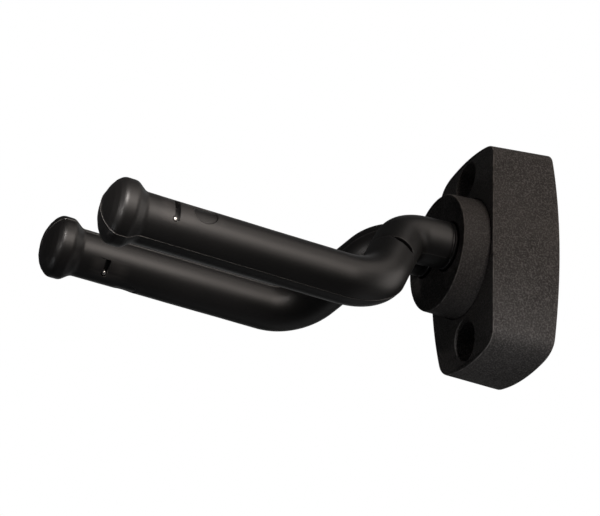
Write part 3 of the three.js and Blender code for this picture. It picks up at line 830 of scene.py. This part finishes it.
def stub_sleeve(side, name):
    c = math.radians(-40 if side == 1 else 220)
    lines = [c % TAU, (c + math.pi) % TAU]
    angles = [k * TAU / 96 for k in range(96)]
    angles = [x for x in angles if all(abs((x - k + math.pi) % TAU - math.pi) > 0.07 for k in lines)]
    for k in lines:
        angles += [(k + e) % TAU for e in (-0.055, -0.032, -0.021, -0.013, -0.006, 0.0, 0.006, 0.013, 0.021, 0.032, 0.055)]
    angles.sort()
    path = arm_path(side)
    full = with_frames(path)
    tags = [s[2] for s in path]
    k1 = tags.index("bend1_end")
    j = full[k1]
    st = full[: k1 + 1] + [(j[0] + j[1] * (SEAM_PAST * f), *j[1:]) for f in (0.25, 0.5, 0.75, 1.0)]
    rings = []
    first = st[0]
    front = -30.9
    # bore, from the open end at the joint back to the disc, then the outside forward again
    end = st[-1]
    rings_in = [(*end, 4.45, 1, 0, 0, None)] + [(*q, 4.35, 1, 0, 0, None) for q in reversed(st[1:-1])] + [(*first, 4.35, 1, 0, 0, None)]
    rings = list(rings_in)
    rings.append((*first, 6.6, 1, 0, 0, None))
    rings.append((first[0] + first[1] * 0.25, *first[1:], 6.85, 1, 0, 0, None))

    def at_y(y, r):
        p = Vector((first[0].x, y, first[0].z))
        rings.append((p, *first[1:], r, 1, 0, 0, None))

    at_y(front + 0.9, 6.85)
    at_y(front + 0.35, 6.9)
    # a thin bead against the turret, a groove, then the rounded shoulder of the full thickness
    for i in range(0, 7):
        f = i / 6 * math.pi
        at_y(front - 0.16 - 0.42 * (1 - math.cos(f)), 6.95 + 0.52 * math.sin(f))
    at_y(front - 1.25, 6.86)
    for i in range(0, 9):
        f = i / 8 * math.pi / 2
        at_y(front - 1.45 - 0.62 * (1 - math.cos(f)), 6.88 + (SLEEVE_R - 6.88) * math.sin(f))
    outer = len(rings)
    at_y(front - 2.6, SLEEVE_R)
    for q in st[1:-1]:
        rings.append((*q, SLEEVE_R, 1, 0, 0.5, None))
    lip = 0.16
    opening = seam_open(side)
    for i in range(0, 6):
        f = i / 5 * math.pi / 2
        rings.append((end[0] - end[1] * (lip * (1 - math.sin(f))), *end[1:], SLEEVE_R - lip * (1 - math.cos(f)), 1, 0, 0.5, lambda a, d: -0.5 * opening(a, d)))
    rings.append((*end, 4.45, 1, 0, 0, lambda a, d: -0.5 * opening(a, d)))
    # close the loop of rings
    s, ids = tube_skin(rings, angles, lines, False)
    o = temp(s, name)
    chains = [[q + (u * math.cos(k) + w * math.sin(k)) * (r + 0.13 * fs) for q, t, u, w, r, nr, nt, fs, shift in rings[outer:-6]] for k in lines]
    # the stub's mould line is lightened too: partly scuffed flash, partly a painted highlight
    near_line(o, "flash", chains, 0.09)
    return finish_piece(o, name, "yoke", RUBBER, [name.replace("_detail", "")], yoke=True, sharp=34)


for side, word in ((1, "right"), (-1, "left")):
    arm_sleeve(side, word + "_arm_sleeve_detail")
    stub_sleeve(side, word + "_stub_sleeve_detail")
    o = temp(pin_shape(side, 0.74, 4.4, 7.2, True))
    finish_piece(o, word + "_sleeve_pin_detail", "yoke", BRIGHT, [word + "_sleeve_pin"], yoke=True)

# ------------------------------------------------------------------ pivot hardware, seen from behind
def threaded_stud():
    """Stud with a rolled thread on its free end."""
    n, pitch, r = 72, 1.25, 4.0
    prof = []
    y = -13.2
    s = Shape()
    rows = []

    def row(y, fn):
        ids = []
        for k in range(n):
            a = TAU * k / n
            rr = fn(a)
            s.v.append(Vector((rr * math.cos(a), y, rr * math.sin(a))))
            ids.append(len(s.v) - 1)
        rows.append(ids)

    s.v.append(Vector((0, -23.2, 0)))
    first = len(s.v) - 1
    row(-23.2, lambda a: 3.7)
    row(-22.95, lambda a: 3.98)
    row(-14.0, lambda a: 3.98)
    y = -13.6
    while y < -1.75:
        fade = min(1.0, (y + 13.6) / 1.2, max(0.0, (-1.6 - y) / 0.8))
        def thread(a, y=y, fade=fade):
            ph = ((y / pitch) - a / TAU) % 1.0
            tri = abs(ph - 0.5) * 2
            return 3.98 - 0.62 * fade * max(0.0, min(1.0, (tri - 0.12) / 0.76))
        row(y, thread)
        y += 0.15
    row(-1.65, lambda a: 3.5)
    row(-1.3, lambda a: 3.2)
    row(-1.22, lambda a: 3.0)
    s.v.append(Vector((0, -1.22, 0)))
    last = len(s.v) - 1
    for a, b in zip(rows, rows[1:]):
        s.f += [(a[k], a[(k + 1) % n], b[(k + 1) % n], b[k]) for k in range(n)]
    s.f += [(first, rows[0][(k + 1) % n], rows[0][k]) for k in range(n)]
    s.f += [(last, rows[-1][k], rows[-1][(k + 1) % n]) for k in range(n)]
    return s


finish_piece(temp(threaded_stud()), "pivot_stud_detail", "yoke", ZINC, ["pivot_stud"], yoke=True, sharp=50)


def lock_nut():
    r = 13 / math.sqrt(3)
    loop = [(r * math.cos(i * math.pi / 3), r * math.sin(i * math.pi / 3)) for i in range(6)]
    o = temp(prism(loop, -2.4, -10.2), "nut")
    env = turned(fillet([(0, -10.2), (6.5, -10.2, 0.3), (7.55, -9.55, 0.5), (7.55, -4.75, 0.5), (6.1, -3.95, 0.7), (5.85, -2.4, 0.5), (0, -2.4)]), 96)
    boolean(o, temp(env), "INTERSECT")
    boolean(o, temp(turned([(0, 5), (5.3, 5), (5.3, -4.9), (4.3, -4.9), (4.3, -20), (0, -20)], 72)))
    return finish_piece(o, "lock_nut_detail", "yoke", ZINC, ["lock_nut"], yoke=True, sharp=30)


lock_nut()


def ring_shape(r0, r1, y0, y1, e, n=96):
    return turned(fillet([(r0, y0, e), (r1, y0, e), (r1, y1, e), (r0, y1, e)], closed=True, seg=4), n, closed=True)


finish_piece(temp(ring_shape(4.25, 4.99, -4.64, -2.62, 0.15)), "lock_nut_insert_detail", "yoke", NYLON, ["lock_nut_insert"], yoke=True)
finish_piece(temp(ring_shape(4.3, 8.38, -13.39, -12.41, 0.2)), "plain_washer_detail", "yoke", ZINC, ["plain_washer"], yoke=True)


def spring_washer():
    """One turn of square wire, cut through, its ends sprung a little apart."""
    s = Shape()
    n, rows = 100, []
    sec = fillet([(4.32, -0.72, 0.15), (6.78, -0.72, 0.15), (6.78, 0.72, 0.15), (4.32, 0.72, 0.15)], closed=True, seg=3)
    for k in range(n + 1):
        f = k / n
        a = 0.11 + f * (TAU - 0.22)
        mid = -11.3 + (f - 0.5) * 0.32
        row = []
        for r, y in sec:
            s.v.append(Vector((r * math.cos(a), mid + y, r * math.sin(a))))
            row.append(len(s.v) - 1)
        rows.append(row)
    m = len(sec)
    for a, b in zip(rows, rows[1:]):
        s.f += [(a[k], a[(k + 1) % m], b[(k + 1) % m], b[k]) for k in range(m)]
    s.f.append(tuple(reversed(rows[0])))
    s.f.append(tuple(rows[-1]))
    return s


finish_piece(temp(spring_washer()), "spring_washer_detail", "yoke", ZINC, ["spring_washer"], yoke=True)

# CAD nodes that stay: hidden inside the turret and under the sleeves; the rods' dark tint is partly a dark finish,
# partly painted shade seen in the sleeve seam gaps
for n, m in (("pivot_bush", ACETAL), ("thrust_washer", ACETAL), ("yoke_disc", DARK_STEEL), ("cover_screw_upper", ZINC), ("cover_screw_lower", ZINC), ("right_arm_rod", DARK_STEEL), ("left_arm_rod", DARK_STEEL)):
    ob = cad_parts[n]
    ob.data.materials.clear()
    ob.data.materials.append(m)

# ------------------------------------------------------------------ floor, world and lights
def floor_and_light():
    me = bpy.data.meshes.new("floor")
    h = -1.25
    me.from_pydata([(-6, -6, h), (6, -6, h), (6, 6, h), (-6, 6, h)], [], [(0, 1, 2, 3)])
    fl = bpy.data.objects.new("floor", me)
    bpy.context.scene.collection.objects.link(fl)
    m, nt, bsdf = new_mat("pale_floor")
    bsdf.inputs["Base Color"].default_value = (0.86, 0.86, 0.85, 1)
    bsdf.inputs["Roughness"].default_value = 0.9
    # the sweep is lit from below its surface, so it stays pale without throwing light back up
    bsdf.inputs["Emission Color"].default_value = (1.0, 1.0, 0.99, 1)
    bsdf.inputs["Emission Strength"].default_value = 0.72
    me.materials.append(m)
    fl.visible_diffuse = False
    fl.visible_glossy = False

    w = bpy.data.worlds.new("studio")
    bpy.context.scene.world = w
    w.use_nodes = True
    nt = w.node_tree
    nt.nodes.clear()
    out = nt.nodes.new("ShaderNodeOutputWorld")
    lp = nt.nodes.new("ShaderNodeLightPath")
    bg_seen = nt.nodes.new("ShaderNodeBackground")
    bg_seen.inputs[0].default_value = (1, 1, 1, 1)
    bg_seen.inputs[1].default_value = 1.0
    bg_fill = nt.nodes.new("ShaderNodeBackground")
    bg_fill.inputs[0].default_value = (0.95, 0.97, 1.0, 1)
    bg_fill.inputs[1].default_value = 0.03
    mx = nt.nodes.new("ShaderNodeMixShader")
    nt.links.new(lp.outputs["Is Camera Ray"], mx.inputs[0])
    nt.links.new(bg_fill.outputs[0], mx.inputs[1])
    nt.links.new(bg_seen.outputs[0], mx.inputs[2])
    nt.links.new(mx.outputs[0], out.inputs[0])

    def area(name, pos, target, size, power, colour, size_y=None):
        d = bpy.data.lights.new(name, "AREA")
        d.shape = "RECTANGLE"
        d.size = size
        d.size_y = size_y or size
        d.energy = power
        d.color = colour
        o = bpy.data.objects.new(name, d)
        bpy.context.scene.collection.objects.link(o)
        o.location = pos
        o.rotation_mode = "QUATERNION"
        o.rotation_quaternion = (Vector(target) - Vector(pos)).to_track_quat("-Z", "Y")
        return o

    def around(name, az, el, power, size=0.8, colour=(1, 1, 1), gloss=1.0):
        a, e = math.radians(az), math.radians(el)
        aim = Vector((0, -0.06, 0))
        o = area(name, aim + 1.4 * Vector((math.cos(a) * math.cos(e), math.sin(a) * math.cos(e), math.sin(e))), aim, size, power, colour)
        o.data.specular_factor = gloss

    warm = (1.0, 0.905, 0.835)
    around("key", 10, 21, 4.8, 0.65, warm)
    around("right", 9, 2, 2.1, 0.65, warm)
    around("high_right", 45, 45, 2.7, 1.0, warm)
    around("right_behind", 80, 8, 4.4, 1.0, (1.0, 0.93, 0.88))
    around("low_right_behind", 80, -45, 0.45, 1.0, (1.0, 0.96, 0.94))
    around("high_behind", 130, 38, 0.9, 1.0)
    around("low_behind", 130, -45, 0.5, 1.0)
    around("left_fill", 160, 10, 0.8, 1.0, gloss=0.12)

    def snoot(name, pos, aim, power, half_angle, soft, colour):
        """A narrow lamp that picks out one part and passes clear of the rest."""
        d = bpy.data.lights.new(name, "SPOT")
        d.energy = power
        d.spot_size = math.radians(2 * half_angle)
        d.spot_blend = 0.7
        d.shadow_soft_size = soft
        d.color = colour
        o = bpy.data.objects.new(name, d)
        bpy.context.scene.collection.objects.link(o)
        o.location = pos
        o.rotation_mode = "QUATERNION"
        o.rotation_quaternion = (Vector(aim) - Vector(pos)).to_track_quat("-Z", "Y")

    snoot("end_stop_snoot", (0.88, -0.42, 0.38), (0.024, -0.138, -0.018), 46.0, 2.7, 0.03, (1.0, 0.94, 0.90))
    snoot("end_stop_mid_snoot", (0.55, -0.85, -0.16), (0.022, -0.150, -0.024), 12.0, 2.7, 0.03, (1.0, 0.95, 0.92))
    snoot("end_stop_low_snoot", (-0.25, -0.90, -0.52), (0.0, -0.150, -0.026), 2.2, 4.2, 0.06, (0.96, 0.98, 1.0))
    snoot("plate_low_snoot", (0.95, -0.012, -0.41), (0.018, -0.012, -0.042), 17.0, 1.7, 0.02, (0.94, 0.97, 1.0))


floor_and_light()
bpy.context.scene.view_settings.view_transform = "Standard"

bpy.context.view_layer.update()
